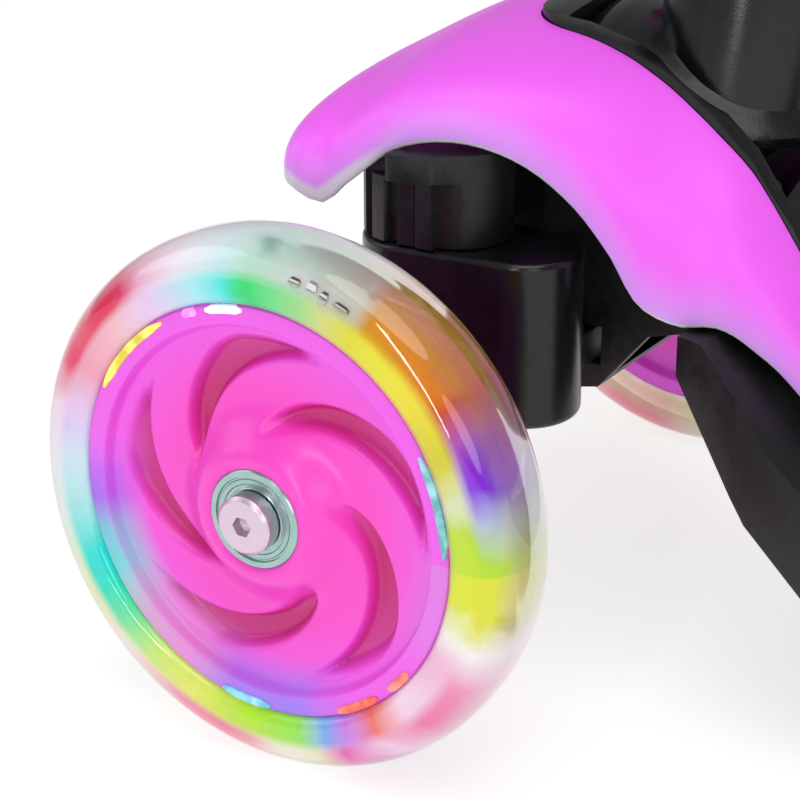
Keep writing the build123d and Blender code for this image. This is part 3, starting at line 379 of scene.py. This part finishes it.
def spine_plan(gap):
    """Plan of the slot in the cover, wider than the black neck by the gap."""
    half, tail, front, rear = 28 + gap, 22.5 + gap, -12 + gap, -120 - gap
    corner, narrows = 12, -72
    round_front = arc_points(front - corner, half - corner, corner, 90, 0)
    return ([(rear, tail), (narrows, half)] + round_front + [(x, -y) for x, y in reversed(round_front)]
            + [(narrows, -half), (rear, -tail)])


magenta = Finish("magenta_cover", Coat_Weight=0.12, Coat_Roughness=0.25, Specular_IOR_Level=0.3)
along_cover = (magenta.node("ShaderNodeSeparateXYZ", None, {0: magenta.place}, output=0) - axle.x) / MM
up_cover = (magenta.node("ShaderNodeSeparateXYZ", None, {0: magenta.place}, output=2) - axle.z) / MM
# The height of the cover's lower edge at each place along it, as a grey ramp.
cover_tail = cover_stations[-1][0]
cover_length = cover_stations[0][0] - cover_tail
ramp_top = 100.0
edge_stops = [((x - cover_tail) / cover_length, (edge / ramp_top,) * 3)
              for x, crown, half, edge in cover_stations[::-1]]
edge_height = magenta.node("ShaderNodeValToRGB", {"stops": edge_stops},
                           {0: (along_cover - cover_tail) / cover_length})
above_edge = up_cover - edge_height * ramp_top
# Painted highlight: the face turns pale lavender near the cover's lower edge, where the rounded rim would catch
# the light.
rim_highlight_share = (1 - above_edge / 13.0).most(0.0).least(1.0) ** 1.6
facing_down = (0.0 - magenta.node("ShaderNodeSeparateXYZ", None, {
    0: magenta.node("ShaderNodeTexCoord", output="Normal")}, output=2)).above(0.3)
haze = magenta.noise(30.0, 3.0)
body_colour = magenta.blend(haze, (0.87, 0.115, 0.90), (0.93, 0.135, 0.95))
rim_painted_highlight = magenta.blend(rim_highlight_share * 0.72, body_colour, (0.60, 0.42, 0.95))
# Painted reflection: faces turned down near the rim are painted pale grey, as the bright floor would light
# them.
underside_painted_reflection = (facing_down * rim_highlight_share * 1.3).least(0.95)
# A painted pale highlight runs along the lower edge at the wing's tip, standing in for the light caught by the
# rounded lip, and fades out towards the nose and the arch.
tip_painted_highlight = (1 - (above_edge - 1.3) / 1.6).most(0.0).least(1.0)
tip_painted_highlight = tip_painted_highlight * ((along_cover + 4.0) / 10.0).most(0.0).least(1.0)
tip_painted_highlight = tip_painted_highlight * ((30.0 - along_cover) / 8.0).most(0.0).least(1.0)
magenta.drive("Base Color", magenta.blend(underside_painted_reflection.most(tip_painted_highlight * 0.85), rim_painted_highlight, (0.70, 0.70, 0.74)))
magenta.drive("Roughness", haze * 0.12 + 0.34)
magenta.bump(magenta.noise(900.0, 2.0), 0.00003, 0.25)

cover = shell_piece("wing_cover", cover_stations, cover_wall)
cut(cover, prism("slot_tool", spine_plan(0.3), 0, 120))
soft_edge = cover.modifiers.new("ease", "BEVEL")
soft_edge.width, soft_edge.segments = 0.0009, 3
soft_edge.limit_method, soft_edge.angle_limit = "ANGLE", math.radians(50)
settle(cover)
smooth(cover, 40)
paint(cover, magenta.material)
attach(cover, "chassis")
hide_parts("front_cover")


# --- Neck fairing and lean hub -------------------------------------------------------------------------
# Satin black ABS: the fairing fills the cover's slot with a thin lip, and the domed hub leans inside it on
# its pivot pin.

paint(ease("neck_fairing", 0.0006, sharp=40), satin_black)
paint(ease("lean_hub", 0.0009, sharp=40), satin_black)


# --- Front wheels --------------------------------------------------------------------------------------
# Each is a hot-pink polypropylene core with five swirl recesses, a clear cast polyurethane tread with
# lamps in it, and two shielded ball bearings on a socket-head axle bolt.

def turned(name, outline, place, steps=160, closed=True):
    """A body turned about the wheel's axle: the outline gives (distance along the axle, radius)."""
    outline = np.array(outline, float)
    count = len(outline)
    angle = np.linspace(0, 2 * np.pi, steps, endpoint=False)
    points = np.stack([
        np.outer(np.cos(angle), outline[:, 1]), np.outer(np.ones(steps), outline[:, 0]),
        np.outer(np.sin(angle), outline[:, 1]),
    ], axis=2).reshape(-1, 3)
    faces = []
    for i in range(steps):
        for j in range(count if closed else count - 1):
            k = (j + 1) % count
            n = (i + 1) % steps
            faces.append((i * count + j, i * count + k, n * count + k, n * count + j))
    return outward(mesh_piece(name, points * MM + np.array(place), faces))


def side_place(finish, place):
    """Angle about an axle, from 0 to 1 with 0.5 straight ahead, and radius from it, in millimetres."""
    x = finish.node("ShaderNodeSeparateXYZ", None, {0: finish.place}, output=0) - place.x
    z = finish.node("ShaderNodeSeparateXYZ", None, {0: finish.place}, output=2) - place.z
    turn = z.math("ARCTAN2", z, x) / (2 * math.pi) + 0.5
    radius = (x * x + z * z).root() * 1000.0
    return turn, radius


def core_height(radius, angle, rim_r, count, hand):
    """Distance of the core's face from its mid-plane: flat rim, dish with swirl recesses, cone at the hub."""
    rim, web, hub, hub_r = 10.0, 5.4, 12.5, 12.6
    t = np.clip((radius - 14) / (rim_r - 5.5 - 14), 0, 1)
    face = web + (hub - web) * np.exp(-(((radius - hub_r) / 6.5) ** 2)) + 1.6 * t**3
    # Each swirl is a comma that starts narrow at the hub and broadens as it sweeps round.
    turn = angle - hand * (1.15 * t + 0.25 * t**2)
    phase = (turn * count / (2 * np.pi)) % 1.0
    broad = 0.12 + 0.2 * t
    inside = np.clip(np.minimum(phase, broad * 2 - phase) / 0.12, 0, 1)
    inside *= np.clip((t - 0.1) / 0.18, 0, 1) * np.clip((0.95 - t) / 0.12, 0, 1)
    inside = inside * inside * (3 - 2 * inside)
    face -= 3.4 * inside
    rise = np.clip((radius - (rim_r - 5.8)) / 1.5, 0, 1)
    rise = rise * rise * (3 - 2 * rise)
    face = face * (1 - rise) + rim * rise
    return np.where(radius < hub_r, hub, face)


def wheel_core(name, place, rim_r, outer_side):
    """The pink core, both faces as fine grids joined at the rim and at the bearing seat."""
    seat_r = 11.0
    hub = [seat_r, seat_r + 0.5, 12.5]
    web = np.linspace(12.8, rim_r - 6.1, 52)
    step_up = np.linspace(rim_r - 5.8, rim_r - 4.2, 8)
    flat_rim = np.linspace(rim_r - 3.4, rim_r - 0.5, 4)
    radii = np.concatenate([hub, web, step_up, flat_rim, [rim_r]])
    steps = 300
    angle = np.linspace(0, 2 * np.pi, steps, endpoint=False)
    points, sheets = [], []
    for side in (1, -1):
        r, a = np.meshgrid(radii, angle, indexing="ij")
        face = core_height(r, a, rim_r, 5, 1.0 if side == outer_side else -1.0)
        face[0] -= 0.4
        face[-1] -= 0.6
        sheets.append(len(points))
        points.extend(np.stack([r * np.cos(a), side * face, r * np.sin(a)], axis=2).reshape(-1, 3))
    faces = []
    rows = len(radii)
    for start in sheets:
        for i in range(rows - 1):
            for j in range(steps):
                k = (j + 1) % steps
                faces.append((start + i * steps + j, start + i * steps + k,
                              start + (i + 1) * steps + k, start + (i + 1) * steps + j))
    for row in (0, rows - 1):
        for j in range(steps):
            k = (j + 1) % steps
            faces.append((sheets[0] + row * steps + j, sheets[0] + row * steps + k,
                          sheets[1] + row * steps + k, sheets[1] + row * steps + j))
    piece = outward(mesh_piece(name, np.array(points) * MM + np.array(place), faces))
    smooth(piece, 50)
    return piece


def core_plastic(name, place, outboard=0):
    """Hot-pink polypropylene, with painted shade that turns it crimson low in the recesses, and the lamps'
    light on its rim.
    """
    finish = Finish(name, Coat_Weight=0.2, Coat_Roughness=0.2, Specular_IOR_Level=0.4)
    y = finish.node("ShaderNodeSeparateXYZ", None, {0: finish.place}, output=1)
    turn, radius = side_place(finish, place)
    # Painted shade: the closer the face lies to the mid-plane, the more crimson it is, deepest at the recess
    # floors.
    painted_recess_shade = 1 - (((y - place.y).size() * 1000.0 - 2.2) / 3.4).most(0.0).least(1.0)
    cloud = finish.noise(70.0, 3.0)
    outer = ((radius - 26.0) / 16.0).most(0.0).least(1.0)
    pink = finish.blend(outer * 0.85 + cloud * 0.15, (0.88, 0.055, 0.52), (0.80, 0.10, 0.78))
    pink = finish.blend(painted_recess_shade * 0.9, pink, (0.50, 0.004, 0.13))
    stops = [(((angle / 360) + 0.5) % 1.0, colour) for angle, colour in lamp_spill]
    tint = finish.node("ShaderNodeValToRGB", {"stops": sorted(stops)}, {0: turn})
    share = (tint.math("SUBTRACT", 1.0, finish.node("ShaderNodeSeparateColor", None, {0: tint}, output=0)))
    reach = ((radius - 34.0) / 9.0).most(0.0).least(1.0) * ((y - place.y) * float(outboard)).above(0.0)
    finish.drive("Base Color", finish.blend(share * reach * 0.9, pink, tint))
    finish.drive("Roughness", cloud * 0.15 + 0.26)
    finish.bump(finish.noise(700.0, 2.0), 0.00003, 0.3)
    return finish.material


def tread_outline(inner, outer, half, rim_half, bulge=2.5):
    """Outline of the clear tread's section: flanks that swell a little, and round shoulders."""
    points = [(-rim_half, inner), (-half + 0.9, inner + 0.6), (-half + 0.25, inner + 2)]
    for i in range(25):
        t = math.pi * i / 24
        c, s = -math.cos(t), math.sin(t)
        along = math.copysign(abs(c) ** (2 / bulge), c) * half
        points.append((along, inner + 3.5 + (outer - inner - 3.5) * abs(s) ** (2 / bulge)))
    return points + [(half - 0.25, inner + 2), (half - 0.9, inner + 0.6), (rim_half, inner)]


clear_tread = Finish("clear_polyurethane", IOR=1.38, Coat_Weight=0.6, Coat_Roughness=0.03)
clear_tread.plain(Specular_IOR_Level=0.6, Transmission_Weight=1.0)
swirl = clear_tread.noise(60.0, 4.0)
edge_on = clear_tread.node("ShaderNodeLayerWeight", None, {"Blend": 0.35}, output=1) ** 2.2
clear_resin = clear_tread.blend(swirl, (0.95, 0.90, 0.95), (0.91, 0.94, 0.95))
clear_tread.drive("Base Color", clear_tread.blend(edge_on * 0.75, clear_resin, (0.42, 0.34, 0.42)))
clear_tread.drive("Roughness", swirl * 0.08 + 0.03)
clear_tread.bump(clear_tread.noise(45.0, 2.0), 0.0004, 0.25)

# The lamps' colours round the wheel, by degrees from straight ahead: close to the core, and further out.
inner_glow = [
    (0, (0.72, 0.86, 0.90)), (12, (0.80, 0.74, 0.95)), (26, (0.93, 0.50, 0.60)), (44, (0.93, 0.66, 0.70)),
    (60, (0.88, 0.72, 0.93)), (72, (0.55, 0.90, 0.92)), (82, (0.25, 0.86, 0.84)), (90, (0.16, 0.78, 0.28)),
    (98, (0.30, 0.80, 0.40)), (108, (0.72, 0.76, 0.36)), (120, (0.84, 0.80, 0.05)), (138, (0.93, 0.86, 0.08)),
    (152, (0.72, 0.68, 0.05)), (162, (0.80, 0.86, 0.62)), (172, (0.62, 0.84, 0.08)), (186, (0.80, 0.86, 0.10)),
    (196, (0.97, 0.98, 0.93)), (206, (0.93, 0.62, 0.76)), (222, (0.95, 0.80, 0.90)), (232, (0.93, 0.35, 0.30)),
    (242, (0.70, 0.35, 0.85)), (252, (0.35, 0.55, 0.92)), (262, (0.45, 0.86, 0.25)), (278, (0.62, 0.90, 0.22)),
    (292, (0.86, 0.90, 0.32)), (306, (0.72, 0.90, 0.35)), (318, (0.30, 0.84, 0.50)), (332, (0.12, 0.78, 0.70)),
    (344, (0.40, 0.84, 0.80)),
]
outer_glow = [
    (0, (0.93, 0.93, 0.97)), (15, (0.97, 0.82, 0.90)), (26, (0.85, 0.05, 0.14)), (48, (0.82, 0.04, 0.12)),
    (58, (0.95, 0.62, 0.76)), (70, (0.97, 0.93, 0.98)), (82, (0.72, 0.93, 0.93)), (92, (0.62, 0.84, 0.70)),
    (101, (0.74, 0.76, 0.74)), (114, (0.62, 0.62, 0.52)), (121, (0.78, 0.36, 0.08)), (140, (0.80, 0.25, 0.03)),
    (152, (0.42, 0.18, 0.62)), (160, (0.36, 0.16, 0.80)), (168, (0.55, 0.62, 0.75)), (178, (0.55, 0.80, 0.12)),
    (190, (0.80, 0.82, 0.20)), (198, (0.98, 0.97, 0.98)), (208, (0.92, 0.45, 0.62)), (222, (0.90, 0.35, 0.52)),
    (235, (0.95, 0.72, 0.86)), (246, (0.85, 0.25, 0.55)), (256, (0.85, 0.84, 0.62)), (268, (0.93, 0.93, 0.80)),
    (281, (0.90, 0.35, 0.48)), (296, (0.93, 0.45, 0.55)), (310, (0.96, 0.86, 0.80)), (324, (0.93, 0.93, 0.62)),
    (340, (0.82, 0.93, 0.76)),
]
# Where their light spills on the core's rim; a red of 1 leaves the core its own colour.
lamp_spill = [
    (0, (0.30, 0.14, 0.86)), (14, (0.80, 0.20, 0.90)), (30, (1.0, 0.10, 0.70)), (160, (1.0, 0.10, 0.70)),
    (180, (0.55, 0.30, 0.70)), (205, (0.60, 0.30, 0.72)), (222, (1.0, 0.10, 0.70)), (240, (0.62, 0.12, 0.80)),
    (258, (0.16, 0.22, 0.88)), (282, (0.20, 0.20, 0.86)), (300, (0.60, 0.55, 0.40)), (314, (0.45, 0.60, 0.45)),
    (330, (0.05, 0.72, 0.62)), (342, (0.06, 0.60, 0.66)), (352, (0.20, 0.14, 0.80)),
]


def lamp_light(name, place, outboard, inner, outer, strength):
    """Coloured light held in the tread, strongest outboard: it changes round the wheel and fades outwards."""
    finish = Finish(name, Specular_IOR_Level=0.2)
    turn, radius = side_place(finish, place)
    warp = (finish.noise(46.0, 2.0) - 0.5) * 0.045
    bands = []
    for glow in (inner_glow, outer_glow):
        stops = sorted(((degrees / 360 + 0.5) % 1.0, colour) for degrees, colour in glow)
        bands.append(finish.node("ShaderNodeValToRGB", {"stops": stops}, {0: turn + warp}))
    share = ((radius - inner - 5.2) / 2.4).most(0.0).least(1.0)
    mixed = finish.blend(share, *bands)
    colour = finish.node("ShaderNodeHueSaturation", None, {"Saturation": 1.3, "Color": mixed})
    y = finish.node("ShaderNodeSeparateXYZ", None, {0: finish.place}, output=1)
    outside = ((y - place.y) * outboard * 90.0 + 0.85).most(0.22).least(1.0)
    fade = (1 - ((radius - outer + 3.0) / 3.2).most(0.0).least(1.0)) ** 0.7
    blotch = finish.noise(95.0, 2.0)
    finish.drive("Base Color", colour)
    finish.drive("Emission Color", colour)
    finish.drive("Roughness", blotch * 0.2 + 0.5)
    finish.drive("Alpha", fade * outside * (blotch * 0.6 + 0.72).least(1.0))
    finish.plain(Emission_Strength=strength)
    return finish.material


bearing_steel = plated_steel("bearing_steel", (0.26, 0.44, 0.40), (0.46, 0.58, 0.55), 0.24)
bolt_steel = plated_steel("bolt_steel", (0.62, 0.50, 0.60), (0.74, 0.62, 0.72), 0.34)

# Section of a shielded ball bearing: distance from the wheel's mid-plane, and radius.
bearing_section = [
    (5.5, 4.0), (5.5, 11.0), (12.2, 11.0), (12.5, 10.7), (12.5, 9.5), (12.3, 9.4), (12.0, 9.3), (12.0, 9.0),
    (12.25, 8.8), (12.25, 7.9), (12.05, 7.7), (12.05, 7.0), (12.2, 6.8), (12.2, 6.4), (11.9, 6.3), (11.9, 6.05),
    (12.5, 5.9), (12.5, 4.2), (12.3, 4.0),
]
# The lamps' circuit board, held in the tread: from and to in degrees, then its inner and outer radius.
board_parts = [
    (99.5, 102.5, 53.4, 55.2), (104, 106.5, 54.0, 56.2), (107.5, 109.5, 52.6, 55.4), (111, 115, 53.6, 55.0),
]
# Lamp windows in the core's rim: from and to, in degrees from straight ahead, and the colour of the light.
lamp_windows = [
    (27, 58, (0.62, 0.52, 0.02)), (66, 71, (0.86, 0.16, 0.62)), (74, 86, (0.97, 0.72, 0.90)),
    (216, 225, (0.60, 0.10, 0.06)), (230, 245, (0.72, 0.07, 0.02)), (150, 178, (0.10, 0.32, 0.36)),
    (268, 284, (0.12, 0.42, 0.55)),
]


def arc_window(name, place, side, start, end, inner=43.7, outer=45.9, low=9.2, high=10.35):
    """A small curved lens let into the core's rim."""
    steps = max(6, int((end - start) / 2))
    points, faces = [], []
    for i in range(steps + 1):
        a = math.radians(start + (end - start) * i / steps)
        taper = min(1.0, 0.35 + 4.0 * min(i, steps - i) / steps)
        middle, half = (inner + outer) / 2, (outer - inner) / 2 * taper
        for r, y in ((middle - half, low), (middle - half * 0.8, high),
                     (middle + half * 0.8, high), (middle + half, low)):
            points.append((r * math.cos(a), side * y, r * math.sin(a)))
    for i in range(steps):
        for j in range(4):
            k = (j + 1) % 4
            faces.append((4 * i + j, 4 * i + k, 4 * i + 4 + k, 4 * i + 4 + j))
    faces += [(0, 1, 2, 3), tuple(4 * steps + j for j in range(4))]
    piece = outward(mesh_piece(name, np.array(points) * MM + np.array(place), faces))
    smooth(piece, 30)
    return piece


def window_light(name, colour):
    """A lens lit from behind, brighter in patches where the lamps sit."""
    finish = Finish(name, Coat_Weight=0.5, Coat_Roughness=0.1)
    patch = finish.noise(260.0, 2.0)
    brighter = tuple(min(1.0, c * 1.5 + 0.12) for c in colour)
    lit = finish.blend(((patch - 0.42) * 4.0).most(0.0).least(1.0), colour, brighter)
    finish.drive("Base Color", lit)
    finish.drive("Emission Color", lit)
    finish.drive("Roughness", patch * 0.2 + 0.25)
    finish.plain(Emission_Strength=0.25)
    return finish.material


wheel_r, core_r, tread_half, rim_half = 60.0, 46.0, 12.0, 10.0
skin_gap = 0.05
for hand, side in (("left", 1), ("right", -1)):
    place = spins[f"{hand}_wheel_spin"]
    skin = tread_outline(core_r + skin_gap, wheel_r - skin_gap, tread_half - skin_gap, rim_half)
    tread = turned(f"{hand}_tread", skin, place, 200)
    smooth(tread, 60)
    paint(tread, clear_tread.material)
    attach(tread, f"{hand}_wheel")
    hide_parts(f"{hand}_tyre")

    lit_part = tread_outline(core_r + 0.3, wheel_r - 2.4, tread_half - 1.4, rim_half - 1.2)
    glow = turned(f"{hand}_lamp_glow", lit_part, place, 200)
    smooth(glow, 60)
    paint(glow, lamp_light(f"{hand}_lamp_light", place, side, core_r, wheel_r - 1.6, 0.24))
    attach(glow, f"{hand}_wheel")

    core = wheel_core(f"{hand}_swirl_core", place, core_r, side)
    paint(core, core_plastic(f"{hand}_core_plastic", place, side))
    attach(core, f"{hand}_wheel")
    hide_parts(f"{hand}_core")

    for number, (start, end, colour) in enumerate(lamp_windows):
        window = arc_window(f"{hand}_lamp_window_{number}", place, side, start, end)
        paint(window, window_light(f"{hand}_window_light_{number}", colour))
        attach(window, f"{hand}_wheel")

    for number, (start, end, inner, outer) in enumerate(board_parts):
        chip = arc_window(f"{hand}_lamp_chip_{number}", place, side, start, end, inner, outer, 10.2, 11.1)
        paint(chip, zinc_steel)
        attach(chip, f"{hand}_wheel")

    bearings = [turned(f"{hand}_bearing_{where}", [(direction * y, r) for y, r in bearing_section], place, 96)
                for where, direction in (("out", side), ("in", -side))]
    for bearing in bearings:
        smooth(bearing, 30)
        paint(bearing, bearing_steel)
        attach(bearing, f"{hand}_wheel")
    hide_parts(f"{hand}_bearings")
    paint(frame["nodes"][f"{hand}_axle_bolt"], bolt_steel)
    paint(frame["nodes"][f"{hand}_light_ring"], zinc_steel)


# --- Rear wheel ----------------------------------------------------------------------------------------
# The same make as the front wheels, smaller and wider, with a clear tread on a pink core. It turns on a bolt
# between the deck's fork sides.

rear = spins["rear_wheel_spin"]
rear_tread = turned("rear_tread", tread_outline(28.05, 39.95, 14.95, 12.5, 2.8), rear, 160)
smooth(rear_tread, 60)
paint(rear_tread, clear_tread.material)
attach(rear_tread, "rear_wheel")
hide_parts("rear_tyre")
paint(ease("rear_core", 0.0006), core_plastic("rear_core_plastic", rear))
paint(ease("rear_bearings", 0.0003, 2), bearing_steel)


# --- Brake fender --------------------------------------------------------------------------------------
# A black nylon fender over the rear wheel, hinged on a pin and held up by two springs. The child's heel
# presses it down on the tread.

paint(ease("brake_fender", 0.0008), satin_black)


# --- T-bar ---------------------------------------------------------------------------------------------
# Two satin anodised aluminium tubes that telescope, a clamp with a cam lever, a moulded tee, and a bar
# with soft pink grips. The lower tube plugs into the lean hub and is held by a sprung button.

anodised = Finish("anodised_aluminium", Metallic=1.0)
around = anodised.node("ShaderNodeMapping", None, {0: anodised.place, 3: (6.0, 6.0, 0.25)})
streak = anodised.noise(220.0, 4.0, 0.6, around)
anodised.drive("Base Color", anodised.blend(streak, (0.66, 0.67, 0.69), (0.80, 0.81, 0.82)))
anodised.drive("Roughness", streak * 0.14 + 0.24)
anodised.bump(streak, 0.00002, 0.4)
for node in ("lower_tube", "inner_tube", "handlebar"):
    paint(ease(node, 0.0003, 2), anodised.material)
for node in ("clamp_collar", "clamp_lever", "handlebar_tee", "bar_caps"):
    paint(ease(node, 0.0008), satin_black)

acetal = soft_rubber("acetal", (0.72, 0.71, 0.66), (0.62, 0.61, 0.57), 2400.0)
for node in ("guide_bush", "tube_foot", "hub_bushes"):
    paint(ease(node, 0.0003, 2), acetal)

grip_rubber = soft_rubber("grip_rubber", (0.80, 0.05, 0.62), (0.86, 0.16, 0.70))
for node in ("left_grip", "right_grip"):
    paint(ease(node, 0.0), grip_rubber)
paint(ease("release_button", 0.0003, 2), magenta.material)


# --- Floor, light and camera ---------------------------------------------------------------------------
# A pale studio floor, one big soft light overhead and behind the viewer, and gentle fill all round.

floor_size = 14.0
floor_corners = [(x * floor_size, y * floor_size, 0) for x, y in ((-1, -1), (1, -1), (1, 1), (-1, 1))]
floor = mesh_piece("studio_floor", floor_corners, [(0, 1, 2, 3)])
backdrop = Finish("studio_floor", Specular_IOR_Level=0.1)
backdrop.drive("Base Color", backdrop.blend(backdrop.noise(1.5, 2.0), (0.52, 0.52, 0.525), (0.55, 0.55, 0.55)))
backdrop.plain(Roughness=0.9, Emission_Color=(1, 1, 1, 1), Emission_Strength=0.68)
paint(floor, backdrop.material)


def soft_light(name, place, aim, size, power, height=None):
    lamp = bpy.data.lights.new(name, "AREA")
    lamp.shape, lamp.size, lamp.energy = "DISK", size, power
    if height:
        lamp.shape, lamp.size_y = "RECTANGLE", height
    made = bpy.data.objects.new(name, lamp)
    made.location = place
    made.rotation_mode = "QUATERNION"
    made.rotation_quaternion = (Vector(aim) - Vector(place)).to_track_quat("-Z", "Y")
    bpy.context.scene.collection.objects.link(made)


soft_light("overhead", (-0.2, 0.5, 1.6), (0.1, 0, 0.1), 1.3, 10.5)
soft_light("side_fill", (-1.2, 1.4, 0.7), (0.15, 0.05, 0.1), 0.9, 5.0)
soft_light("front_fill", (1.3, 0.5, 0.8), (0.15, 0, 0.1), 0.9, 2.6)
soft_light("strip", (0.03, 1.05, 0.45), (0.18, 0.05, 0.08), 0.06, 2.3, height=0.8)

world = bpy.data.worlds.new("studio")
world.use_nodes = True
world.node_tree.nodes["Background"].inputs["Color"].default_value = (1, 1, 1, 1)
world.node_tree.nodes["Background"].inputs["Strength"].default_value = 0.36
bpy.context.scene.world = world
bpy.context.scene.view_settings.view_transform = "Standard"

camera_from_axle = Vector((-0.25207, 0.46110, 0.20153))
look_along = Vector((0.49204, -0.78339, -0.37975))
lens = bpy.data.cameras.new("camera")
lens.lens, lens.sensor_width, lens.clip_start = 102.37, 36.0, 0.02
camera = bpy.data.objects.new("camera", lens)
camera.location = axle + camera_from_axle
camera.rotation_mode = "QUATERNION"
camera.rotation_quaternion = look_along.to_track_quat("-Z", "Y")
bpy.context.scene.collection.objects.link(camera)
bpy.context.scene.camera = camera
